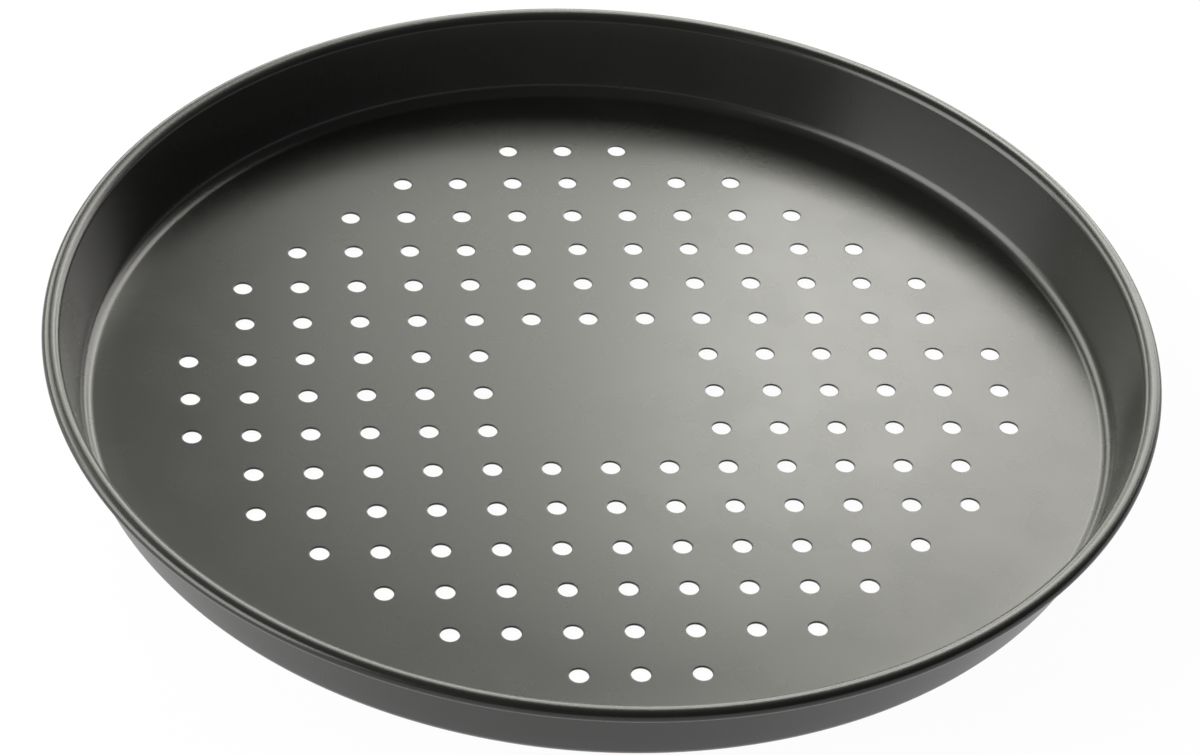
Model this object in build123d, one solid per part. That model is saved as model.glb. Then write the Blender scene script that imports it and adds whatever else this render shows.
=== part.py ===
from build123d import *
from math import atan, cos, degrees, radians, sin, sqrt, tan
import os

# A round pizza pan with a perforated base. One sheet of steel is drawn into a base and a
# flared wall, and its edge is rolled outwards around a wire ring that stiffens the rim.
# Millimetres, +Z up. The origin is the centre of the pan, on the surface it stands on.

# The pan as a whole
rim_diameter = 285.0  # over the rolled edge
pan_height = 23.0  # from the standing surface to the top of the rolled edge
wall_flare = 14.2  # lean of the wall out of upright, in degrees
sheet = 0.5  # thickness of the steel

# Base
foot_radius = 3.8  # inside, where the base turns up into the wall
standing_ring = 6.0  # width of the level ring beside the wall that the pan stands on
crown_rise = 1.3  # how far the middle of the base is raised above that ring
crown_blend_share = 0.12  # outer share of the crown that curves back to level

# Perforation: a square grid with a blank field in the middle
hole_diameter = 4.9
hole_pitch = 15.0
row_half_counts = (7, 7, 6, 6, 5, 4, 3, 1)  # holes to each side of the middle, from row 0 outwards
blank_reach = 1  # rows and columns to each side of the middle that the blank field takes

# Rolled edge
wire_diameter = 1.8
wire_gap = 0.1  # all round the wire, to the inside of the curl
curl_width = 4.8  # from the inside of the pan to the outermost point
corner_radius = 2.5  # on top, where the wall turns over into the curl
curl_tilt = 15.0  # half the turn of the curl's flatter top and underside, in degrees
curl_tuck = 25.0  # last turn that tucks the cut edge up beside the wall, in degrees

overrun = 1.0  # how far a cut runs past what it cuts


def sine(angle):
    return sin(radians(angle))


def cosine(angle):
    return cos(radians(angle))


# Rolled edge, seen in section. The curl is an oval of round ends and flatter arcs between them.
rim_radius = rim_diameter / 2
wall_heading = 90 - wall_flare
bight_inside = wire_diameter / 2 + wire_gap
bight_outside = bight_inside + sheet
corner_span = corner_radius * (sine(wall_heading) - sine(curl_tilt))
nose_span = bight_outside * (1 - sine(curl_tilt))
flat_outside = (curl_width - corner_span - nose_span) / (2 * sine(curl_tilt))
crest_drop = flat_outside * (1 - cosine(curl_tilt))
wire_height = pan_height - crest_drop - bight_outside * cosine(curl_tilt)
wire_ring_radius = rim_radius - bight_outside

# Top of the wall, on its outer face, where the curl starts
corner_drop = corner_radius * (cosine(curl_tilt) - cosine(wall_heading))
inner_top_height = pan_height - crest_drop - corner_drop
wall_top_radius = rim_radius - curl_width + sheet * cosine(wall_flare)
wall_top_height = inner_top_height - sheet * sine(wall_flare)

# Foot of the wall, on its outer face, and the level ring beside it
foot_outside = foot_radius + sheet
foot_top_height = foot_outside * (1 - cosine(wall_heading))
wall_rise = wall_top_height - foot_top_height
wall_length = wall_rise / cosine(wall_flare)
foot_top_radius = wall_top_radius - wall_rise * tan(radians(wall_flare))
base_radius = foot_top_radius - foot_outside * sine(wall_heading)

# Crown of the base: one long arc that falls from the middle, and one that levels it out
crown_edge_radius = base_radius - standing_ring
crown_turn = degrees(2 * atan(crown_rise / crown_edge_radius))
crown_reach = crown_edge_radius / sine(crown_turn)
crown_arc = crown_reach * (1 - crown_blend_share)
blend_arc = crown_reach * crown_blend_share


def sheet_face(lift):
    # One face of the sheet in section, from the middle of the base to the cut edge in the curl.
    # lift is zero on the under and outer face, and the sheet's thickness on the other one.
    crown = JernArc((0, crown_rise + lift), (1, 0), crown_arc + lift, -crown_turn)
    blend = JernArc(crown @ 1, crown % 1, blend_arc - lift, crown_turn)
    ring = Line(blend @ 1, (base_radius, lift))
    foot = JernArc(ring @ 1, ring % 1, foot_outside - lift, wall_heading)
    wall = Line(foot @ 1, foot @ 1 + (foot % 1) * wall_length)
    bight = bight_inside + lift
    flat = flat_outside - sheet + lift
    bend = corner_radius - sheet + lift
    corner = JernArc(wall @ 1, wall % 1, bend, curl_tilt - wall_heading)
    crest = JernArc(corner @ 1, corner % 1, flat, -2 * curl_tilt)
    nose = JernArc(crest @ 1, crest % 1, bight, 2 * curl_tilt - 180)
    underside = JernArc(nose @ 1, nose % 1, flat, -2 * curl_tilt)
    tuck = JernArc(underside @ 1, underside % 1, bight, -curl_tuck)
    return [crown, blend, ring, foot, wall, corner, crest, nose, underside, tuck]


def perforation():
    # Round punches. They stand square to the crown, because the flat sheet is punched before
    # its middle is raised, so each one points at the centre of the crown's arc.
    crown_centre = Vector(0, 0, crown_rise - crown_arc)
    punch_length = sheet + 2 * overrun
    punches = []
    for row in range(1 - len(row_half_counts), len(row_half_counts)):
        half = row_half_counts[abs(row)]
        for column in range(-half, half + 1):
            if abs(row) > blank_reach or abs(column) > blank_reach:
                x = column * hole_pitch
                y = row * hole_pitch
                outwards = Vector(x, y, sqrt(crown_arc**2 - x**2 - y**2)).normalized()
                start = crown_centre + outwards * (crown_arc - overrun)
                place = Plane(origin=start, z_dir=outwards)
                punches.append(extrude(place * Circle(hole_diameter / 2), punch_length))
    return punches


def pan_shell():
    outer = sheet_face(0)
    inner = sheet_face(sheet)
    middle_edge = Line(outer[0] @ 0, inner[0] @ 0)
    cut_edge = Line(outer[-1] @ 1, inner[-1] @ 1)
    section = make_face(outer + inner + [middle_edge, cut_edge])
    drawn_sheet = revolve(Plane.XZ * section, Axis.Z)
    return drawn_sheet - perforation()


def rim_wire():
    return Pos(0, 0, wire_height) * Torus(wire_ring_radius, wire_diameter / 2)


os.makedirs("parts", exist_ok=True)
export_step(pan_shell(), "parts/pan_shell.step")
export_step(rim_wire(), "parts/rim_wire.step")
print("base radius", round(base_radius, 2), "wire ring radius", round(wire_ring_radius, 2))
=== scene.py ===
from math import atan, cos, radians, sin, sqrt

import bmesh
import bpy
from mathutils import Matrix, Vector


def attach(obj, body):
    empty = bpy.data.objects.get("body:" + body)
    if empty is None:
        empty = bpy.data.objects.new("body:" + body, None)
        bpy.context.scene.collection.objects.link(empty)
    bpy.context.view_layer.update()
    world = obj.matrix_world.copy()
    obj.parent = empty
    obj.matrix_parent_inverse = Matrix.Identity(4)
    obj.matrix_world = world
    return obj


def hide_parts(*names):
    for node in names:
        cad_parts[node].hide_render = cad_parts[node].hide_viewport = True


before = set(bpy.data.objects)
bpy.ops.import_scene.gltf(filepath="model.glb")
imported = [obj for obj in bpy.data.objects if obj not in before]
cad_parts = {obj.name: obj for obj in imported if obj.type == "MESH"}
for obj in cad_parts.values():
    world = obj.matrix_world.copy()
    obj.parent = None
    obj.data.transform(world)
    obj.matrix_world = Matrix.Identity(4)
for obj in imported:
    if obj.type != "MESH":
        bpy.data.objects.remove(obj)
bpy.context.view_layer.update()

mm = 0.001  # everything below is in metres, written as so many millimetres


def srgb(hexText):
    # "#rrggbb" as it looks on screen -> linear colour for a shader socket
    channels = [int(hexText[i:i + 2], 16) / 255 for i in (1, 3, 5)]
    linear = [c / 12.92 if c <= 0.04045 else ((c + 0.055) / 1.055) ** 2.4 for c in channels]
    return (*linear, 1.0)


def newMaterial(name):
    material = bpy.data.materials.new(name)
    material.use_nodes = True
    material.node_tree.nodes.clear()
    return material


def addNode(tree, kind, links=None, inputs=None, **settings):
    # adds one node; links is {input name: (node, output name)}, inputs is {input name: value}
    node = tree.nodes.new(kind)
    for name, value in settings.items():
        setattr(node, name, value)
    for name, value in (inputs or {}).items():
        node.inputs[name].default_value = value
    for name, (source, output) in (links or {}).items():
        tree.links.new(source.outputs[output], node.inputs[name])
    return node


def toObject(mesh, name):
    data = bpy.data.meshes.new(name)
    mesh.to_mesh(data)
    mesh.free()
    piece = bpy.data.objects.new(name, data)
    bpy.context.scene.collection.objects.link(piece)
    return piece


def onlyPoints(geometry):
    return [part for part in geometry if isinstance(part, bmesh.types.BMVert)]


# camera

cameraSetup = {
    "place": (-136.69 * mm, -890.81 * mm, 743.96 * mm),
    "heading": 8.714,  # degrees right of +Y
    "downward": 39.295,
    "roll": 4.992,
    "lens": 135.92,
    "nearest": 0.05,  # what it sees starts and ends at these distances
    "farthest": 60,
}

lens = bpy.data.cameras.new("camera")
lens.lens = cameraSetup["lens"]
lens.clip_start = cameraSetup["nearest"]
lens.clip_end = cameraSetup["farthest"]
camera = bpy.data.objects.new("camera", lens)
camera.matrix_world = (
    Matrix.Translation(cameraSetup["place"])
    @ Matrix.Rotation(radians(-cameraSetup["heading"]), 4, "Z")
    @ Matrix.Rotation(radians(90 - cameraSetup["downward"]), 4, "X")
    @ Matrix.Rotation(radians(cameraSetup["roll"]), 4, "Z")
)
bpy.context.scene.collection.objects.link(camera)
bpy.context.scene.camera = camera
print("camera set")


# pan shell

pan = {
    "rimDiameter": 285.0 * mm,
    "height": 23.0 * mm,
    "wallFlare": 14.2,  # degrees out of upright
    "sheet": 0.5 * mm,
    "footRadius": 3.8 * mm,
    "standingRing": 6.0 * mm,
    "crownRise": 1.3 * mm,
    "blendShare": 0.12,  # share of the crown's bend that the shorter arc at its edge takes
    "wire": 1.8 * mm,
    "wireGap": 0.1 * mm,
    "curlWidth": 4.8 * mm,
    "cornerRadius": 2.5 * mm,
    "curlTilt": 15.0,
    "curlTuck": 25.0,
    "stepsAround": 240,
    "fieldRadius": 118.0 * mm,  # the punched field ends here and the spun part starts
    "mergeWithin": 0.02 * mm,
}
# points along each stretch of the section
sectionSteps = {"crown": 3, "foot": 14, "wall": 4, "corner": 10, "flat": 6, "nose": 14, "tuck": 3}
punching = {
    "hole": 4.9 * mm,
    "pitch": 15.0 * mm,
    "halfCounts": (7, 7, 6, 6, 5, 4, 3, 1),  # holes to each side of the middle, row by row
    "blankReach": 1,  # the middle is left blank for this many places each way
    "cutsPerSide": 5,  # points between the corners of one cell
    "margin": 0.3 * mm,  # narrow ring of faces that keeps the flat sheet flat beside the edge
    "edgeRound": 0.09 * mm,
    "edgeSteps": 2,
    "edgeAngle": 50,  # only edges that turn by more than this are rounded
}

# the section of the shell, worked out from the sizes as the CAD part has it
flare, tilt = radians(pan["wallFlare"]), radians(pan["curlTilt"])
sheet, rimRadius = pan["sheet"], pan["rimDiameter"] / 2
bend = pan["wire"] / 2 + pan["wireGap"] + sheet  # outer radius of the curl's round ends
corner = pan["cornerRadius"]
curlEnds = corner * (cos(flare) - sin(tilt)) + bend * (1 - sin(tilt))
flatBend = (pan["curlWidth"] - curlEnds) / (2 * sin(tilt))
crestEnd = pan["height"] - flatBend * (1 - cos(tilt))
wallTop = Vector((rimRadius - pan["curlWidth"], 0, crestEnd - corner * (cos(tilt) - sin(flare))))
footRise = sheet + pan["footRadius"] * (1 - sin(flare))
wallLength = (wallTop.z - footRise) / cos(flare)
baseRadius = wallTop.x - wallLength * sin(flare) - pan["footRadius"] * cos(flare)
ringRadius = baseRadius - pan["standingRing"]
crownTurn = 2 * atan(pan["crownRise"] / ringRadius)
crownReach = ringRadius / sin(crownTurn)
crownBend = crownReach * (1 - pan["blendShare"]) + sheet
blendBend = crownReach * pan["blendShare"] - sheet


def crownHeight(radius):
    # top face of the base: a long arc from the middle, and a shorter one that levels it out
    if radius < crownBend * sin(crownTurn):
        return sheet + pan["crownRise"] - crownBend + sqrt(crownBend**2 - radius**2)
    return sheet + blendBend - sqrt(blendBend**2 - (ringRadius - radius)**2)


def goStraight(mesh, tip, heading, length):
    grown = bmesh.ops.extrude_vert_indiv(mesh, verts=[tip])["verts"]
    step = Vector((cos(heading), 0, sin(heading))) * length
    bmesh.ops.translate(mesh, verts=grown, vec=step)
    return grown[0]


def goRound(mesh, tip, heading, bendRadius, turn, steps):
    # spins the tip of the section along an arc; a positive turn is to the left
    side = 1 if turn > 0 else -1
    centre = tip.co + Vector((-sin(heading), 0, cos(heading))) * bendRadius * side
    grown = bmesh.ops.spin(mesh, geom=[tip], cent=centre, axis=(0, 1, 0), angle=-turn, steps=steps)
    return onlyPoints(grown["geom_last"])[0], heading + turn


def wallSection(mesh):
    # from the edge of the punched field out over the foot, up the wall and round the curl
    count = sectionSteps
    start = mesh.verts.new((ringRadius, 0, sheet))
    crownLeft = (pan["fieldRadius"] - ringRadius) / blendBend
    goRound(mesh, start, radians(180), blendBend, crownLeft, count["crown"])
    tip = goStraight(mesh, start, 0.0, pan["standingRing"])
    upWall = radians(90) - flare
    tip, heading = goRound(mesh, tip, 0.0, pan["footRadius"], upWall, count["foot"])
    for _ in range(count["wall"]):
        tip = goStraight(mesh, tip, heading, wallLength / count["wall"])
    for bendRadius, turn, steps in (
        (corner, tilt - upWall, count["corner"]),
        (flatBend, -2 * tilt, count["flat"]),  # flatter top
        (bend, 2 * tilt - radians(180), count["nose"]),
        (flatBend, -2 * tilt, count["flat"]),  # flatter underside
        (bend, -radians(pan["curlTuck"]), count["tuck"]),  # cut edge, up beside the wall
    ):
        tip, heading = goRound(mesh, tip, heading, bendRadius, turn, steps)


def punchedField(mesh):
    # one cell of the grid with its round hole, repeated along rows and columns
    cell, hole, blank = punching["pitch"], punching["hole"], punching["blankReach"]
    stepsPerSide = punching["cutsPerSide"] + 1
    square = bmesh.ops.create_grid(mesh, x_segments=1, y_segments=1, size=cell / 2)["verts"]
    bmesh.ops.subdivide_edges(mesh, edges=square[0].link_faces[0].edges[:],
                              cuts=punching["cutsPerSide"])
    bmesh.ops.delete(mesh, geom=mesh.faces[:], context="FACES_ONLY")
    outer = mesh.edges[:]
    marginRadius = hole / 2 + punching["margin"]
    ring = bmesh.ops.create_circle(mesh, segments=4 * stepsPerSide, radius=marginRadius)["verts"]
    inner = list({e for v in ring for e in v.link_edges})
    bmesh.ops.bridge_loops(mesh, edges=outer + inner)
    edge = onlyPoints(bmesh.ops.extrude_edge_only(mesh, edges=inner)["geom"])
    bmesh.ops.scale(mesh, verts=edge, vec=Vector((1, 1, 1)) * hole / 2 / marginRadius)
    oneCell = list(mesh.verts) + list(mesh.edges) + list(mesh.faces)
    lastRow = len(punching["halfCounts"]) - 1
    for row in range(-lastRow, lastRow + 1):
        half = punching["halfCounts"][abs(row)]
        for column in range(-half, half + 1):
            if abs(row) > blank or abs(column) > blank:
                moved = onlyPoints(bmesh.ops.duplicate(mesh, geom=oneCell)["geom"])
                bmesh.ops.translate(mesh, verts=moved, vec=(column * cell, row * cell, 0))
    bmesh.ops.delete(mesh, geom=onlyPoints(oneCell), context="VERTS")
    # the blank field in the middle has the same points along its sides
    wide = 2 * blank + 1
    bmesh.ops.create_grid(mesh, x_segments=wide * stepsPerSide, y_segments=wide * stepsPerSide,
                          size=wide * cell / 2)
    bmesh.ops.remove_doubles(mesh, verts=list(mesh.verts), dist=pan["mergeWithin"])
    # the border has long edges and the holes have short ones
    longEdge = cell / stepsPerSide / 2
    border = [e for e in mesh.edges if e.is_boundary and e.calc_length() > longEdge]
    rim = bmesh.ops.create_circle(mesh, segments=pan["stepsAround"], radius=pan["fieldRadius"])
    rimEdges = list({e for v in rim["verts"] for e in v.link_edges})
    bmesh.ops.triangle_fill(mesh, edges=border + rimEdges, use_beauty=True)
    for v in mesh.verts:
        v.co.z = crownHeight(v.co.to_2d().length)


def makeShell():
    mesh = bmesh.new()
    wallSection(mesh)
    bmesh.ops.spin(mesh, geom=list(mesh.verts) + list(mesh.edges), cent=(0, 0, 0), axis=(0, 0, 1),
                   angle=radians(360), steps=pan["stepsAround"], use_merge=True)
    field = bmesh.new()
    punchedField(field)
    fieldData = bpy.data.meshes.new("field")
    field.to_mesh(fieldData)
    field.free()
    mesh.from_mesh(fieldData)
    bpy.data.meshes.remove(fieldData)
    bmesh.ops.remove_doubles(mesh, verts=list(mesh.verts), dist=pan["mergeWithin"])
    bmesh.ops.recalc_face_normals(mesh, faces=list(mesh.faces))
    for f in mesh.faces:
        f.smooth = True
    return toObject(mesh, "shell")


shell = makeShell()
# the mesh is the face that the food lies on, and the sheet's thickness goes outwards from it
thickness = shell.modifiers.new("sheet thickness", "SOLIDIFY")
thickness.thickness = sheet
thickness.offset = -1
thickness.use_even_offset = True
softEdges = shell.modifiers.new("deburred edges", "BEVEL")
softEdges.width = punching["edgeRound"]
softEdges.segments = punching["edgeSteps"]
softEdges.limit_method = "ANGLE"
softEdges.angle_limit = radians(punching["edgeAngle"])
print("shell made", len(shell.data.vertices), "points")

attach(shell, "root")
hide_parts("pan_shell")


# finishes

coating = {
    "colour": "#1a1a18",
    "thinColour": "#222220",  # where the film is thinner the grey primer shows a little
    "roughness": 0.27,
    "roughnessSpread": 0.03,
    "cloud": 22 * mm,  # size of the soft clouds that the spray gun leaves
    "cloudDetail": 3,
    "cloudRoughness": 0.55,
    "cloudRange": (0.3, 0.7),  # most of the noise lies between these values
    "streak": 0.35,  # the clouds are drawn out up the wall, the way the sheet was drawn
    "peel": 1.1 * mm,  # real orange peel is near 0.5 mm; this is the finest that shows here
    "peelDetail": 1,
    "peelDepth": 0.0007 * mm,
}
wireFinish = {
    "colour": "#9c9ca0",
    "darkColour": "#838387",
    "roughness": 0.34,
    "drawLine": 0.12 * mm,
    "drawDetail": 2,
}


def makeCoating():
    # PTFE non-stick coating, sprayed on steel sheet and baked: satin and nearly black in itself,
    # so what the eye sees is mostly the soft mirror image of the softboxes
    material = newMaterial("non-stick coating on steel")
    tree = material.node_tree
    place = addNode(tree, "ShaderNodeTexCoord")
    drawn = addNode(tree, "ShaderNodeMapping", links={"Vector": (place, "Object")},
                    inputs={"Scale": (1, 1, coating["streak"])})
    clouds = addNode(tree, "ShaderNodeTexNoise", links={"Vector": (drawn, "Vector")}, inputs={
        "Scale": 1 / coating["cloud"],
        "Detail": coating["cloudDetail"],
        "Roughness": coating["cloudRoughness"],
    })
    matt = addNode(tree, "ShaderNodeMapRange", links={"Value": (clouds, 0)}, inputs={
        "From Min": coating["cloudRange"][0],
        "From Max": coating["cloudRange"][1],
        "To Min": coating["roughness"] - coating["roughnessSpread"] / 2,
        "To Max": coating["roughness"] + coating["roughnessSpread"] / 2,
    })
    film = addNode(tree, "ShaderNodeMix", data_type="RGBA", links={0: (clouds, 0)},
                   inputs={6: srgb(coating["colour"]), 7: srgb(coating["thinColour"])})
    peel = addNode(tree, "ShaderNodeTexNoise", links={"Vector": (place, "Object")},
                   inputs={"Scale": 1 / coating["peel"], "Detail": coating["peelDetail"]})
    relief = addNode(tree, "ShaderNodeBump", links={"Height": (peel, 0)},
                     inputs={"Distance": coating["peelDepth"], "Strength": 1.0})
    shader = addNode(tree, "ShaderNodeBsdfPrincipled", inputs={"Metallic": 0.0}, links={
        "Base Color": (film, 2), "Roughness": (matt, "Result"), "Normal": (relief, "Normal"),
    })
    addNode(tree, "ShaderNodeOutputMaterial", links={"Surface": (shader, "BSDF")})
    return material


def makeWireFinish():
    # bright drawn steel wire: metal, with fine lines along its length
    material = newMaterial("drawn steel wire")
    tree = material.node_tree
    place = addNode(tree, "ShaderNodeTexCoord")
    split = addNode(tree, "ShaderNodeSeparateXYZ", links={"Vector": (place, "Object")})
    flatPlace = addNode(tree, "ShaderNodeCombineXYZ",
                        links={"X": (split, "X"), "Y": (split, "Y")})
    radius = addNode(tree, "ShaderNodeVectorMath", operation="LENGTH",
                     links={0: (flatPlace, "Vector")})
    across = addNode(tree, "ShaderNodeCombineXYZ",
                     links={"X": (radius, "Value"), "Y": (split, "Z")})
    lines = addNode(tree, "ShaderNodeTexNoise", links={"Vector": (across, "Vector")}, inputs={
        "Scale": 1 / wireFinish["drawLine"], "Detail": wireFinish["drawDetail"],
    })
    steel = addNode(tree, "ShaderNodeMix", data_type="RGBA", links={0: (lines, 0)},
                    inputs={6: srgb(wireFinish["darkColour"]), 7: srgb(wireFinish["colour"])})
    shader = addNode(tree, "ShaderNodeBsdfPrincipled", links={"Base Color": (steel, 2)},
                     inputs={"Metallic": 1.0, "Roughness": wireFinish["roughness"]})
    addNode(tree, "ShaderNodeOutputMaterial", links={"Surface": (shader, "BSDF")})
    return material


shell.data.materials.append(makeCoating())
# the wire's CAD shape stays as it is and gets its steel here
wireSteel = makeWireFinish()
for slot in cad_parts["rim_wire"].material_slots:
    slot.material = wireSteel
print("finishes set")


# floor, world and lamps

studio = {
    "floorRadius": 12.0,
    "sweepRadius": 0.8,
    "sweepSteps": 8,
    "wallHeight": 1.6,  # low white wall all round, for views from low down
    "stepsAround": 96,
    "mergeWithin": 0.1 * mm,
    "white": 0.97,  # what the eye and the gloss see as plain white; the rest takes the shadow
    "paint": "#f2f2f0",
    "sky": "#ffffff",
    "ambient": 0.1,
    "lampsAway": 1.2,  # from the middle of the pan to each softbox
}
# softboxes round the pan: heading in degrees right of +Y, up in degrees above the floor;
# their cloths are near white, some a little warmer and some a little greener
softboxes = {
    "key": {"heading": 25, "up": 38, "size": (0.47, 0.36), "power": 4.15, "tint": "#fffdf6"},
    "upper": {"heading": 9, "up": 33, "size": (0.42, 0.62), "power": 2.95, "tint": "#fdfff5"},
    "right": {"heading": 43, "up": 20, "size": (0.5, 0.6), "power": 4.5, "tint": "#fffdf8"},
    "rear": {"heading": 5, "up": 15, "size": (1.3, 0.28), "power": 5.7, "tint": "#fdfff5"},
    "rearLeft": {"heading": 321, "up": 31, "size": (0.85, 0.42), "power": 7.7, "tint": "#fdfff5"},
    "left": {"heading": 265, "up": 25, "size": (1.2, 0.86), "power": 19.5, "tint": "#fffffc"},
}


def makeStage():
    mesh = bmesh.new()
    tip = mesh.verts.new((0, 0, 0))
    tip = goStraight(mesh, tip, 0.0, studio["floorRadius"])
    tip, heading = goRound(mesh, tip, 0.0, studio["sweepRadius"], radians(90),
                           studio["sweepSteps"])
    goStraight(mesh, tip, heading, studio["wallHeight"])
    bmesh.ops.spin(mesh, geom=mesh.verts[:] + mesh.edges[:], cent=(0, 0, 0), axis=(0, 0, 1),
                   angle=radians(360), steps=studio["stepsAround"], use_merge=True)
    bmesh.ops.remove_doubles(mesh, verts=mesh.verts[:], dist=studio["mergeWithin"])
    bmesh.ops.recalc_face_normals(mesh, faces=mesh.faces[:])
    floor = toObject(mesh, "floor")
    # matt white paint that takes the pan's shadow; eye, gloss and glass see mostly plain white
    material = newMaterial("white floor")
    tree = material.node_tree
    rays = addNode(tree, "ShaderNodeLightPath")
    seen = addNode(tree, "ShaderNodeMath", operation="MAXIMUM",
                   links={0: (rays, "Is Camera Ray"), 1: (rays, "Is Glossy Ray")})
    seen = addNode(tree, "ShaderNodeMath", operation="MAXIMUM",
                   links={0: (seen, 0), 1: (rays, "Is Transmission Ray")})
    share = addNode(tree, "ShaderNodeMath", operation="MULTIPLY",
                    inputs={1: studio["white"]}, links={0: (seen, 0)})
    paint = addNode(tree, "ShaderNodeBsdfDiffuse", inputs={"Color": srgb(studio["paint"])})
    glow = addNode(tree, "ShaderNodeEmission", inputs={"Strength": 1.0})
    both = addNode(tree, "ShaderNodeMixShader",
                   links={0: (share, 0), 1: (paint, "BSDF"), 2: (glow, "Emission")})
    addNode(tree, "ShaderNodeOutputMaterial", links={"Surface": (both, "Shader")})
    floor.data.materials.append(material)


def makeSoftbox(name, setup):
    data = bpy.data.lights.new(name, "AREA")
    data.shape = "RECTANGLE"
    data.size, data.size_y = setup["size"]
    data.energy = setup["power"]
    data.color = srgb(setup["tint"])[:3]
    lamp = bpy.data.objects.new(name, data)
    heading, up = radians(setup["heading"]), radians(setup["up"])
    outward = Vector((sin(heading) * cos(up), cos(heading) * cos(up), sin(up)))
    aim = outward.to_track_quat("Z", "Y").to_matrix().to_4x4()
    lamp.matrix_world = Matrix.Translation(outward * studio["lampsAway"]) @ aim
    lamp.visible_camera = False
    bpy.context.scene.collection.objects.link(lamp)


makeStage()
for name, setup in softboxes.items():
    makeSoftbox(name, setup)

world = bpy.data.worlds.new("studio")
bpy.context.scene.world = world
world.use_nodes = True
background = world.node_tree.nodes["Background"].inputs
background["Color"].default_value = srgb(studio["sky"])
background["Strength"].default_value = studio["ambient"]
print("stage and lamps set")

bpy.context.scene.view_settings.view_transform = "Standard"
